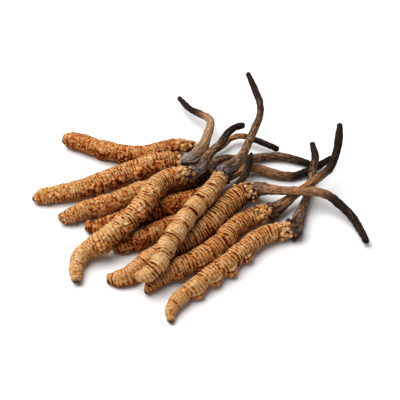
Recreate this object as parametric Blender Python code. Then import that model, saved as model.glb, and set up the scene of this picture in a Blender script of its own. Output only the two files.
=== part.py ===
"""
A loose bundle of dried cordyceps: ten mummified insect larvae, each with the dark stalk of the fungus
growing out of its head. The pile lies on a flat surface, as it was put down.

The model is in metres with +Z up. Its origin is the centre of its bounding box on the surface it lies on.
Every larva and every stalk is one closed object of its own. Both are swept along one curve per specimen,
which runs from the tail of the larva, through its head, to the tip of the stalk.
"""

import math

import bmesh
import bpy
from mathutils import Vector

MM = 0.001

# Sizes below are in millimetres.

# Gap between the face of a head and the foot of its stalk.
JOINT_GAP = 0.3

# The larva's body: segments from crease to crease, and the rows of faces that make one segment.
SEGMENT_LENGTH = 3.75
ROWS_PER_SEGMENT = 3
CREASE_DEPTH = 0.30
SIDES_OF_LARVA = 10
TAIL_CAP = 0.35
HEAD_CAP = 0.12

# The nodules around the head, on the last rows of the body.
NODULE_ROWS = 3
NODULE_HEIGHT = 0.16

# Four pairs of legs sit on the belly, as fractions of the body from tail to head.
LEG_PLACES = (0.26, 0.385, 0.51, 0.635)

# A point of the underside lower than this rests on the surface, which makes the flat of the belly.
REST_HEIGHT = 0.45

# The stalk: a ring every few millimetres, closer together at the foot.
SIDES_OF_STALK = 7
STALK_RING_STEP = 2.2
STALK_FOOT_CROWDING = 1.25
STALK_TIP_CAP = 0.45

# Steps of the smooth curve between two route points.
CURVE_STEPS = 24

# The routes were laid out around the middle of the picture. This moves the pile's own middle to the origin.
PILE_CENTRE_X = -0.6
PILE_CENTRE_Y = -2.7

# Each route point is x, y, height of the centre line, and radius. The last point of a larva is the first
# point of its stalk, where the radius drops from the head to the foot of the stalk.
# leg_height is how far the legs stand out of the belly's side.
SPECIMENS = {
    "01": {
        "larva": [
            (-41.2, 22.0, 1.8, 0.9), (-39.6, 22.1, 2.3, 2.2), (-37.5, 21.8, 2.6, 2.6),
            (-29.5, 18.3, 2.75, 2.8), (-21.0, 15.8, 2.75, 2.8), (-15.6, 16.1, 2.7, 2.7),
            (-8.0, 18.9, 2.7, 2.7), (-3.9, 18.8, 2.4, 2.5), (-1.1, 17.9, 2.2, 2.1),
        ],
        "stalk": [
            (-1.1, 17.9, 2.2, 1.6), (1.6, 17.3, 2.1, 1.0), (4.4, 18.1, 2.2, 0.85), (6.6, 19.7, 2.4, 0.8),
            (9.3, 22.6, 2.7, 0.85), (11.6, 23.5, 2.8, 0.9), (14.1, 22.8, 3.1, 0.9),
            (18.5, 20.7, 2.9, 0.95), (23.5, 18.5, 2.0, 0.9),
        ],
        "leg_height": 0.35,
    },
    "02": {
        "larva": [
            (-48.5, -1.0, 1.2, 0.7), (-47.3, -0.7, 1.6, 1.5), (-44.5, 0.0, 2.3, 2.2),
            (-35.8, 1.8, 2.6, 2.6), (-27.5, 5.5, 2.8, 2.8), (-20.4, 8.9, 3.1, 2.9),
            (-17.1, 9.7, 3.9, 2.95), (-13.8, 10.6, 4.7, 2.95), (-9.4, 12.1, 3.8, 2.75),
            (-4.8, 13.1, 2.8, 2.3),
        ],
        "stalk": [
            (-4.8, 13.1, 2.8, 2.25), (-2.3, 12.1, 3.9, 2.7), (0.0, 14.7, 5.1, 2.1),
            (2.0, 20.0, 5.85, 1.45), (3.2, 26.4, 5.4, 1.2), (2.6, 28.9, 4.9, 1.2),
            (-0.5, 32.0, 4.2, 1.05), (-3.7, 35.1, 3.6, 0.95), (-6.6, 40.5, 2.8, 0.7),
        ],
        "leg_height": 0.5,
    },
    "03": {
        "larva": [
            (-40.2, -9.1, 1.4, 1.1), (-39.3, -8.9, 1.85, 1.8), (-36.1, -8.0, 2.4, 2.4),
            (-32.1, -6.2, 2.8, 2.8), (-27.7, -5.1, 3.0, 3.05), (-21.7, -1.8, 2.9, 2.9),
            (-15.7, 1.4, 2.85, 2.85), (-9.6, 3.2, 2.8, 2.8), (-3.5, 4.9, 2.7, 2.7),
            (-0.4, 6.9, 2.5, 2.5), (1.9, 9.4, 2.3, 2.25),
        ],
        "stalk": [
            (1.9, 9.4, 2.3, 1.8), (3.3, 11.8, 1.9, 1.5), (4.8, 13.9, 1.7, 1.3),
            (7.2, 15.2, 1.7, 1.2), (11.7, 15.1, 1.6, 1.15), (17.1, 15.8, 1.5, 1.2),
            (23.4, 16.3, 1.5, 1.2), (27.8, 15.2, 1.4, 1.15), (32.8, 13.3, 1.1, 1.0),
        ],
        "leg_height": 0.3,
    },
    "04": {
        "larva": [
            (-33.9, -32.6, 1.3, 1.1), (-34.0, -31.3, 1.75, 1.7), (-34.2, -27.3, 2.15, 2.1),
            (-33.2, -23.9, 2.6, 2.6), (-30.3, -21.5, 3.5, 2.9), (-27.2, -20.4, 5.4, 3.0),
            (-24.4, -19.1, 7.0, 3.0), (-19.7, -14.3, 7.7, 3.05), (-15.7, -9.6, 9.2, 3.1),
            (-14.2, -6.2, 9.4, 3.05), (-12.2, -2.6, 8.8, 3.0), (-10.4, -0.3, 8.4, 2.95),
            (-7.5, 1.5, 8.3, 2.8), (-2.6, 3.1, 7.7, 2.2),
        ],
        "stalk": [
            (-2.6, 3.1, 7.7, 2.0), (0.1, 5.0, 7.6, 1.6), (1.9, 9.3, 7.8, 1.35),
            (3.8, 11.8, 8.4, 1.3), (6.0, 14.0, 9.0, 1.25), (8.2, 17.8, 9.8, 1.1),
            (10.8, 20.2, 9.9, 1.0), (13.3, 21.1, 9.9, 0.85),
        ],
        "leg_height": 0.6,
    },
    "05": {
        "larva": [
            (-32.6, -11.2, 1.5, 1.1), (-31.8, -11.5, 1.75, 1.65), (-29.8, -12.2, 2.0, 1.9),
            (-25.8, -11.6, 2.5, 2.5), (-18.5, -8.8, 2.9, 2.95), (-12.6, -6.6, 3.0, 3.05),
            (-7.6, -4.6, 3.0, 3.05), (-2.5, -2.6, 2.9, 2.9), (0.7, -0.6, 2.7, 2.65),
            (3.4, 2.6, 2.3, 2.25),
        ],
        "stalk": [
            (3.4, 2.6, 2.3, 1.8), (6.3, 5.0, 2.4, 1.3), (10.4, 8.1, 2.6, 1.3),
            (14.0, 10.8, 2.4, 1.4), (15.7, 10.9, 2.2, 1.4), (20.0, 9.6, 1.8, 1.35),
            (23.4, 8.6, 1.5, 1.25), (26.9, 8.2, 1.5, 1.2), (30.3, 9.3, 1.6, 1.2),
            (33.3, 10.8, 1.8, 1.2), (39.0, 14.7, 2.6, 1.0),
        ],
        "leg_height": 0.3,
    },
    "06": {
        "larva": [
            (-25.0, -19.4, 1.2, 0.7), (-24.3, -19.4, 1.5, 1.5), (-21.9, -19.5, 2.2, 2.25),
            (-18.4, -18.3, 2.6, 2.6), (-13.9, -15.7, 2.8, 2.75), (-9.1, -12.9, 2.75, 2.75),
            (-5.2, -10.6, 2.6, 2.55), (-0.4, -7.6, 2.5, 2.1),
        ],
        "stalk": [
            (-0.4, -7.6, 2.5, 1.4), (2.8, -4.4, 1.8, 1.05), (5.7, -1.5, 1.3, 1.0),
            (9.6, 2.3, 1.8, 1.05), (13.1, 6.3, 4.3, 1.1), (14.4, 10.0, 5.5, 0.95),
            (15.2, 13.3, 6.2, 0.5),
        ],
        "leg_height": 0.3,
    },
    "07": {
        "larva": [
            (-17.2, -33.9, 4.8, 0.8), (-16.6, -33.9, 5.4, 1.6), (-13.9, -33.6, 6.7, 2.25),
            (-11.8, -32.0, 7.7, 2.5), (-9.2, -25.2, 8.1, 2.7), (-6.6, -20.5, 9.0, 2.8),
            (-2.8, -13.1, 8.9, 2.8), (0.7, -8.6, 9.4, 2.75), (2.3, -6.0, 9.0, 2.65),
            (3.7, -2.7, 7.9, 2.55), (5.0, 0.5, 7.0, 2.5), (6.4, 3.5, 6.8, 2.35),
        ],
        "stalk": [
            (6.4, 3.5, 6.8, 2.3), (7.9, 4.5, 8.0, 2.45), (9.3, 4.5, 9.5, 2.0),
            (12.0, 5.9, 12.0, 1.4), (13.5, 8.3, 14.1, 1.2), (16.1, 13.4, 16.9, 1.15), (17.3, 16.1, 18.9, 1.05),
            (17.3, 19.2, 20.6, 1.05), (15.6, 24.0, 22.2, 0.95), (13.8, 28.9, 23.6, 0.7),
        ],
        "leg_height": 0.0,
    },
    "08": {
        "larva": [
            (-25.7, -30.4, 1.2, 0.7), (-24.9, -30.8, 1.6, 1.4), (-22.5, -31.2, 2.1, 2.1),
            (-19.6, -30.4, 2.5, 2.5), (-13.7, -24.5, 2.7, 2.75), (-7.5, -20.6, 2.9, 2.95),
            (-1.8, -16.2, 3.05, 3.1), (3.5, -11.2, 4.1, 3.2), (7.5, -5.3, 3.6, 3.15),
            (11.6, -1.3, 3.8, 2.95), (15.9, 0.3, 4.0, 2.55),
        ],
        "stalk": [
            (15.9, 0.3, 4.0, 2.45), (17.9, -0.2, 4.9, 2.0), (20.1, -1.4, 5.9, 1.6), (23.6, -2.4, 6.5, 1.3),
            (29.1, -2.6, 6.5, 1.3), (33.5, -2.1, 5.7, 1.3), (36.9, -3.0, 4.9, 1.3),
            (40.3, -5.8, 3.8, 1.3), (42.9, -8.7, 3.0, 1.25), (45.3, -13.2, 2.0, 1.15),
            (47.0, -18.2, 1.8, 0.9),
        ],
        "leg_height": 0.0,
    },
    "09": {
        "larva": [
            (-14.9, -36.2, 1.0, 0.6), (-14.5, -35.4, 1.4, 1.2), (-13.3, -33.7, 1.9, 1.9),
            (-10.4, -30.9, 2.5, 2.55), (-5.2, -27.9, 2.9, 2.9), (-0.2, -25.0, 3.0, 3.0),
            (5.5, -19.5, 3.0, 3.05), (10.0, -13.4, 3.0, 3.0), (14.3, -9.5, 2.8, 2.75),
            (20.4, -6.8, 2.6, 2.3),
        ],
        "stalk": [
            (20.4, -6.8, 2.6, 2.25), (22.2, -5.8, 2.9, 2.1), (24.9, -3.7, 3.4, 1.55),
            (28.0, -0.9, 4.0, 1.25), (31.3, 1.3, 5.0, 1.25), (34.6, 2.8, 7.0, 1.2),
            (37.2, 3.9, 9.1, 1.2), (38.5, 5.7, 11.0, 1.2), (39.4, 8.0, 12.9, 1.2),
            (39.9, 10.3, 14.5, 1.2), (40.4, 15.3, 16.2, 0.85),
        ],
        "leg_height": 0.4,
    },
    "10": {
        "larva": [
            (-7.9, -46.2, 0.9, 0.6), (-7.9, -45.2, 1.2, 1.15), (-7.8, -42.7, 1.8, 1.8),
            (-6.3, -39.6, 2.2, 2.2), (0.0, -33.6, 2.65, 2.6), (6.7, -27.3, 2.9, 2.75),
            (11.6, -22.2, 2.85, 2.75), (16.6, -17.1, 2.75, 2.7), (20.6, -15.1, 2.65, 2.65),
            (23.9, -14.2, 2.5, 2.5), (26.5, -13.1, 2.5, 2.3),
        ],
        "stalk": [
            (26.5, -13.1, 2.5, 2.25), (28.0, -9.8, 2.6, 1.85), (29.3, -5.6, 2.5, 1.35), (30.8, -0.3, 1.9, 1.2),
            (32.0, 4.6, 2.0, 1.15), (33.1, 8.7, 3.7, 1.15), (33.7, 12.0, 5.4, 1.15),
            (33.0, 17.2, 6.6, 0.8),
        ],
        "leg_height": 0.9,
    },
}

LARVA_COLOUR = (0.47, 0.235, 0.085, 1.0)
LARVA_ROUGHNESS = 0.72
STALK_COLOUR = (0.075, 0.048, 0.034, 1.0)
STALK_ROUGHNESS = 0.78


def clear_scene():
    """Remove what the file holds, so that only the model is left."""
    for old in list(bpy.data.objects):
        bpy.data.objects.remove(old, do_unlink=True)


def make_material(name, colour, roughness):
    """A plain, dry, non-metallic surface."""
    material = bpy.data.materials.new(name)
    material.use_nodes = True
    shader = material.node_tree.nodes["Principled BSDF"]
    shader.inputs["Base Color"].default_value = colour
    shader.inputs["Roughness"].default_value = roughness
    shader.inputs["Metallic"].default_value = 0.0
    return material


def smooth_curve(route):
    """A dense list of (point, radius) on a centripetal Catmull-Rom curve through the route points."""
    centres = [Vector(point[:3]) for point in route]
    radii = [point[3] for point in route]
    centres = [2 * centres[0] - centres[1]] + centres + [2 * centres[-1] - centres[-2]]
    radii = [radii[0]] + radii + [radii[-1]]
    dense = []
    for i in range(1, len(centres) - 2):
        before, start, end, after = centres[i - 1:i + 3]
        knot_a = math.sqrt((start - before).length)
        knot_b = math.sqrt((end - start).length)
        knot_c = math.sqrt((after - end).length)
        leave = (end - start) + knot_b * ((start - before) / knot_a - (end - before) / (knot_a + knot_b))
        arrive = (end - start) + knot_b * ((after - end) / knot_c - (after - start) / (knot_b + knot_c))
        for step in range(CURVE_STEPS):
            t = step / CURVE_STEPS
            point = ((2 * t**3 - 3 * t**2 + 1) * start + (t**3 - 2 * t**2 + t) * leave
                     + (3 * t**2 - 2 * t**3) * end + (t**3 - t**2) * arrive)
            ease = 3 * t**2 - 2 * t**3
            dense.append((point, radii[i] * (1 - ease) + radii[i + 1] * ease))
    dense.append((centres[-2], radii[-2]))
    return dense


class Path:
    """A measured curve: gives the place, radius and direction at any distance along it."""

    def __init__(self, dense):
        self.points = [point for point, radius in dense]
        self.radii = [radius for point, radius in dense]
        self.marks = [0.0]
        for previous, current in zip(self.points, self.points[1:]):
            self.marks.append(self.marks[-1] + (current - previous).length)
        self.length = self.marks[-1]

    def at(self, distance):
        """The centre and the radius at a distance from the start."""
        distance = min(max(distance, 0.0), self.length)
        i = 0
        while i < len(self.marks) - 2 and self.marks[i + 1] < distance:
            i += 1
        part = (distance - self.marks[i]) / max(self.marks[i + 1] - self.marks[i], 1e-9)
        centre = self.points[i].lerp(self.points[i + 1], part)
        return centre, self.radii[i] * (1 - part) + self.radii[i + 1] * part

    def direction(self, distance):
        """The direction of travel, averaged over a short stretch."""
        reach = 0.5
        ahead = self.at(distance + reach)[0]
        behind = self.at(distance - reach)[0]
        return (ahead - behind).normalized()


def ring(path, distance, radii, along):
    """The points of one cross-section, from the underside round by the right-hand side."""
    centre = path.at(distance)[0]
    up = (Vector((0, 0, 1)) - along * along.z).normalized()
    right = along.cross(up)
    count = len(radii)
    points = []
    for column, radius in enumerate(radii):
        angle = 2 * math.pi * (column + 0.5) / count
        points.append(centre + radius * (math.sin(angle) * right - math.cos(angle) * up))
    return points


def closed_tube(name, rings, first_pole, last_pole, material):
    """One closed skin over the rings, ended by a point at each end."""
    pile_centre = Vector((PILE_CENTRE_X, PILE_CENTRE_Y, 0))
    mesh = bpy.data.meshes.new(name)
    shape = bmesh.new()
    rows = []
    for points in rings:
        rows.append([shape.verts.new((point - pile_centre) * MM) for point in points])
    count = len(rows[0])
    for lower, upper in zip(rows, rows[1:]):
        for column in range(count):
            following = (column + 1) % count
            shape.faces.new((lower[column], lower[following], upper[following], upper[column]))
    first = shape.verts.new((first_pole - pile_centre) * MM)
    last = shape.verts.new((last_pole - pile_centre) * MM)
    for column in range(count):
        following = (column + 1) % count
        shape.faces.new((first, rows[0][following], rows[0][column]))
        shape.faces.new((last, rows[-1][column], rows[-1][following]))
    bmesh.ops.recalc_face_normals(shape, faces=shape.faces)
    bmesh.ops.triangulate(shape, faces=shape.faces)
    shape.to_mesh(mesh)
    shape.free()
    mesh.materials.append(material)
    result = bpy.data.objects.new(name, mesh)
    bpy.context.scene.collection.objects.link(result)
    return result


def rest_on_surface(points):
    """Flatten the part of a ring that touches the surface the bundle lies on."""
    for point in points:
        if point.z < REST_HEIGHT:
            point.z = 0.0
    return points


def larva_row_radii(radius, row, last_row, leg_rows, leg_height):
    """The radii round one row: creases between segments, legs on the belly, nodules at the head."""
    in_crease = row % ROWS_PER_SEGMENT == 0
    if in_crease and 1 < row < last_row:
        radius -= CREASE_DEPTH
    radii = [radius] * SIDES_OF_LARVA
    if row in leg_rows:
        radii[1] += leg_height
        radii[2] += leg_height / 2
    if last_row - NODULE_ROWS < row <= last_row:
        for column in range(SIDES_OF_LARVA):
            radii[column] += NODULE_HEIGHT * (-1) ** (column + row)
    return radii


def make_larva(name, path, head, leg_height, material):
    """The body of one larva, from its tail tip to the face of its head."""
    length = head - JOINT_GAP / 2 - HEAD_CAP
    segments = round(length / SEGMENT_LENGTH)
    last_row = segments * ROWS_PER_SEGMENT
    leg_rows = set()
    if leg_height > 0:
        for place in LEG_PLACES:
            leg_rows.add(round(place * segments) * ROWS_PER_SEGMENT + 1)
    rings = []
    for row in range(last_row + 1):
        distance = length * row / last_row
        radius = path.at(distance)[1]
        radii = larva_row_radii(radius, row, last_row, leg_rows, leg_height)
        along = path.direction(head if row == last_row else distance)
        rings.append(rest_on_surface(ring(path, distance, radii, along)))
    tail_pole = path.at(0.0)[0] - path.direction(0.0) * TAIL_CAP
    head_pole = path.at(length)[0] + path.direction(head) * HEAD_CAP
    return closed_tube(name, rings, tail_pole, head_pole, material)


def make_stalk(name, path, foot, material):
    """The stalk of one specimen, from its flared foot against the head to its rounded tip."""
    start = foot + JOINT_GAP / 2
    length = path.length - STALK_TIP_CAP - start
    rows = round(length / STALK_RING_STEP) + 1
    rings = []
    for row in range(rows + 1):
        distance = start + length * (row / rows) ** STALK_FOOT_CROWDING
        radius = path.at(distance)[1]
        along = path.direction(foot if row == 0 else distance)
        rings.append(rest_on_surface(ring(path, distance, [radius] * SIDES_OF_STALK, along)))
    foot_pole = path.at(start)[0]
    tip_pole = path.at(path.length)[0]
    return closed_tube(name, rings, foot_pole, tip_pole, material)


def make_specimen(number, specimen, larva_material, stalk_material):
    """A larva and its stalk on one curve, parted at the head."""
    larva_route = specimen["larva"]
    stalk_route = specimen["stalk"]
    whole = smooth_curve(larva_route + stalk_route[1:])
    head_index = (len(larva_route) - 1) * CURVE_STEPS
    whole_path = Path(whole)
    head = whole_path.marks[head_index]
    body_radii = [radius for point, radius in smooth_curve(larva_route)]
    stalk_radii = [radius for point, radius in smooth_curve(stalk_route)]
    larva_path = Path(whole)
    larva_path.radii = body_radii + [body_radii[-1]] * (len(whole) - len(body_radii))
    stalk_path = Path(whole)
    stalk_path.radii = [stalk_radii[0]] * (len(whole) - len(stalk_radii)) + stalk_radii
    make_larva("larva_" + number, larva_path, head, specimen["leg_height"], larva_material)
    make_stalk("stalk_" + number, stalk_path, head, stalk_material)


def build_bundle():
    """Every specimen of the bundle."""
    clear_scene()
    larva_material = make_material("dried_larva", LARVA_COLOUR, LARVA_ROUGHNESS)
    stalk_material = make_material("dried_stalk", STALK_COLOUR, STALK_ROUGHNESS)
    for number, specimen in SPECIMENS.items():
        make_specimen(number, specimen, larva_material, stalk_material)


build_bundle()
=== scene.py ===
# %% [markdown]
# # A loose bundle of dried cordyceps
#
# Cordyceps is a fungus that grows inside an insect larva underground and sends one dark stalk out of
# its head. Dried, the larva is a golden-brown, finely ringed body, and the stalk is a thin, wrinkled,
# nearly black twig. This lesson dresses ten such specimens, heaped on a white surface.
#
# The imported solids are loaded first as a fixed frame. They say where everything is, so each detailed
# piece below is made straight in its place, in metres, with +Z up.

import math

import bpy
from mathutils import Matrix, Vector


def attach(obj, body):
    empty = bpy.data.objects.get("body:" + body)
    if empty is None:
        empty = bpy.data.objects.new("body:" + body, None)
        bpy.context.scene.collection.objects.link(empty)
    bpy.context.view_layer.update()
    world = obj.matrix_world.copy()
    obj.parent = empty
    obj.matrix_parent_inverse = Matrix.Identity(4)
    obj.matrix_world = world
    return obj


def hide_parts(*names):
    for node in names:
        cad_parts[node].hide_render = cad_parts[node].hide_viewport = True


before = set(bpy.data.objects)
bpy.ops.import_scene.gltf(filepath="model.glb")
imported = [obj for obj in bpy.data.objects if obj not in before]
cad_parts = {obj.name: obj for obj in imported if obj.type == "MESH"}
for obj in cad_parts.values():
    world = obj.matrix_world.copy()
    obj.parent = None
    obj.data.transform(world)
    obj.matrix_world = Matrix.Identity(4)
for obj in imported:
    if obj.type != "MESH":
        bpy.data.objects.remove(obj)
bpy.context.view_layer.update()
MM = 0.001

# %% [markdown]
# ## The camera
#
# The picture looks down on the heap from the front, at about 47 degrees above the surface. A long lens
# from a little under half a metre keeps the perspective gentle, as in a studio picture of small things.
# A camera looks along its own -Z axis, so `to_track_quat` turns that axis to the aim.

# %% Camera
CAMERA_AIM = Vector((0.6, 2.7, 0.0)) * MM
CAMERA_RISE = math.radians(47)
CAMERA_DISTANCE = 450 * MM
PIXELS_PER_MM = 3.45
PICTURE_WIDTH = 400

camera_data = bpy.data.cameras.new("camera")
camera_data.sensor_width = 36
camera_data.lens = PIXELS_PER_MM * CAMERA_DISTANCE / MM * camera_data.sensor_width / PICTURE_WIDTH
camera = bpy.data.objects.new("camera", camera_data)
bpy.context.scene.collection.objects.link(camera)
towards_camera = Vector((0, -math.cos(CAMERA_RISE), math.sin(CAMERA_RISE)))
camera.location = CAMERA_AIM + towards_camera * CAMERA_DISTANCE
camera.rotation_euler = (-towards_camera).to_track_quat("-Z", "Y").to_euler()
bpy.context.scene.camera = camera
print("lens in mm:", round(camera_data.lens, 1))

# %% [markdown]
# ## Writing node trees as formulas
#
# Geometry and materials below are node trees. A tree is easier to read as a formula than as a list of
# links, so this small class wraps a node's output and gives it +, -, * and a few functions. The same
# class serves geometry trees and shader trees, because both have the same Math nodes.

# %% A field: a node's output that can be used in a formula
def plug(tree, socket, value):
    """Link a field to an input, or set a plain value on it."""
    if isinstance(value, Field):
        tree.links.new(value.socket, socket)
    else:
        socket.default_value = value


def add(tree, kind, inputs=None, **settings):
    """A new node with its settings and its inputs, given by name or by number."""
    node = tree.nodes.new(kind)
    for name, value in settings.items():
        setattr(node, name, value)
    for name, value in (inputs or {}).items():
        if value is not None:
            plug(tree, node.inputs[name], value)
    return node


def out(tree, kind, inputs=None, which=0, **settings):
    """An output of a new node, as a field."""
    return Field(tree, add(tree, kind, inputs, **settings).outputs[which])


class Field:
    """A value that varies over the surface."""

    def __init__(self, tree, socket):
        self.tree = tree
        self.socket = socket

    def math(self, operation, *others):
        inputs = dict(enumerate((self, *others)))
        return out(self.tree, "ShaderNodeMath", inputs, operation=operation)

    def __add__(self, other):
        return self.math("ADD", other)

    def __sub__(self, other):
        return self.math("SUBTRACT", other)

    def __rsub__(self, other):
        return self.math("MULTIPLY_ADD", -1.0, other)

    def __mul__(self, other):
        return self.math("MULTIPLY", other)

    def __truediv__(self, other):
        return self.math("DIVIDE", other)

    def power(self, exponent):
        return self.math("POWER", exponent)

    def size(self):
        """This number without its sign."""
        return self.math("ABSOLUTE")

    def wave(self):
        """The sine of this many half turns, without its sign: a row of arches, one per whole number."""
        return (self * math.pi).math("SINE").size()

    def ramp(self, low, high, start=0.0, end=1.0):
        """A smooth step from start to end while this goes from low to high."""
        inputs = {"Value": self, "From Min": low, "From Max": high, "To Min": start, "To Max": end}
        return out(self.tree, "ShaderNodeMapRange", inputs, "Result", interpolation_type="SMOOTHSTEP")

    def vector(self, operation, other=None, scale=None):
        """A step of vector arithmetic, on arrows instead of numbers."""
        inputs = {0: self, 1: other, "Scale": scale}
        which = "Value" if operation in ("DOT_PRODUCT", "LENGTH") else "Vector"
        return out(self.tree, "ShaderNodeVectorMath", inputs, which, operation=operation)

    def over(self, size):
        """A place measured in steps of this size."""
        return self.vector("SCALE", scale=1 / size)


def combine(tree, x, y, z):
    """An arrow from three numbers."""
    return out(tree, "ShaderNodeCombineXYZ", {0: x, 1: y, 2: z})


def noise(tree, place, scale, detail=1.0):
    """Soft random hills over a place, between -1 and 1."""
    inputs = {"Vector": place, "Scale": scale, "Detail": detail}
    return out(tree, "ShaderNodeTexNoise", inputs, "Fac") * 2.0 - 1.0


def dice(tree, x, y):
    """An unrelated random number from 0 to 1 for each pair of numbers."""
    return out(tree, "ShaderNodeTexWhiteNoise", {"Vector": combine(tree, x, y, 0.0)}, "Value")


# %% [markdown]
# ## Trees with named inputs
#
# Each kind of piece has one geometry tree with named inputs for its sizes, and each specimen uses it
# with its own values. A modifier finds an input by the socket's identifier, so the values are set that
# way before the object is first evaluated. The result is copied out as a plain mesh.

# %% Make a geometry tree and run it
def new_tree(name, numbers):
    """A geometry tree with an input for the route, one for each number and one for the material."""
    tree = bpy.data.node_groups.new(name, "GeometryNodeTree")
    tree.interface.new_socket("Geometry", in_out="INPUT", socket_type="NodeSocketGeometry")
    for label, value in numbers.items():
        kind = "NodeSocketInt" if isinstance(value, int) else "NodeSocketFloat"
        socket = tree.interface.new_socket(label, in_out="INPUT", socket_type=kind)
        socket.default_value = value
    tree.interface.new_socket("Material", in_out="INPUT", socket_type="NodeSocketMaterial")
    tree.interface.new_socket("Geometry", in_out="OUTPUT", socket_type="NodeSocketGeometry")
    entry = tree.nodes.new("NodeGroupInput")
    return tree, {socket.name: Field(tree, socket) for socket in entry.outputs if socket.name}


def finish_tree(tree, geometry, material):
    """The end of every tree: real faces instead of instances, shaded smooth, with their material."""
    real = out(tree, "GeometryNodeRealizeInstances", {"Geometry": geometry})
    smooth = out(tree, "GeometryNodeSetShadeSmooth", {"Geometry": real})
    painted = out(tree, "GeometryNodeSetMaterial", {"Geometry": smooth, "Material": material})
    plug(tree, tree.nodes.new("NodeGroupOutput").inputs[0], painted)


def grow(name, route_mesh, tree, values, material):
    """Run a tree on a route and keep the result as a plain mesh object."""
    piece = bpy.data.objects.new(name, route_mesh)
    bpy.context.scene.collection.objects.link(piece)
    modifier = piece.modifiers.new("grow", "NODES")
    modifier.node_group = tree
    for socket in tree.interface.items_tree:
        if socket.in_out == "INPUT" and socket.name in values:
            kind = type(socket.default_value)
            modifier[socket.identifier] = kind(values[socket.name])
        elif socket.in_out == "INPUT" and socket.name == "Material":
            modifier[socket.identifier] = material
    evaluated = piece.evaluated_get(bpy.context.evaluated_depsgraph_get())
    result = bpy.data.meshes.new_from_object(evaluated)
    piece.modifiers.remove(modifier)
    piece.data = result
    result.name = name
    return piece


# %% [markdown]
# ## The routes of the ten specimens
#
# Each specimen follows one curve: from the tail of the larva, through its head, to the tip of the stalk.
# A point is x, y, height and radius in millimetres. The same points shape the solids, so what is made
# here lies exactly over them. The heap's own middle is then moved to the origin.

# %% Routes
PILE_CENTRE = Vector((-0.6, -2.7, 0.0))
CURVE_STEPS = 24

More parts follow.
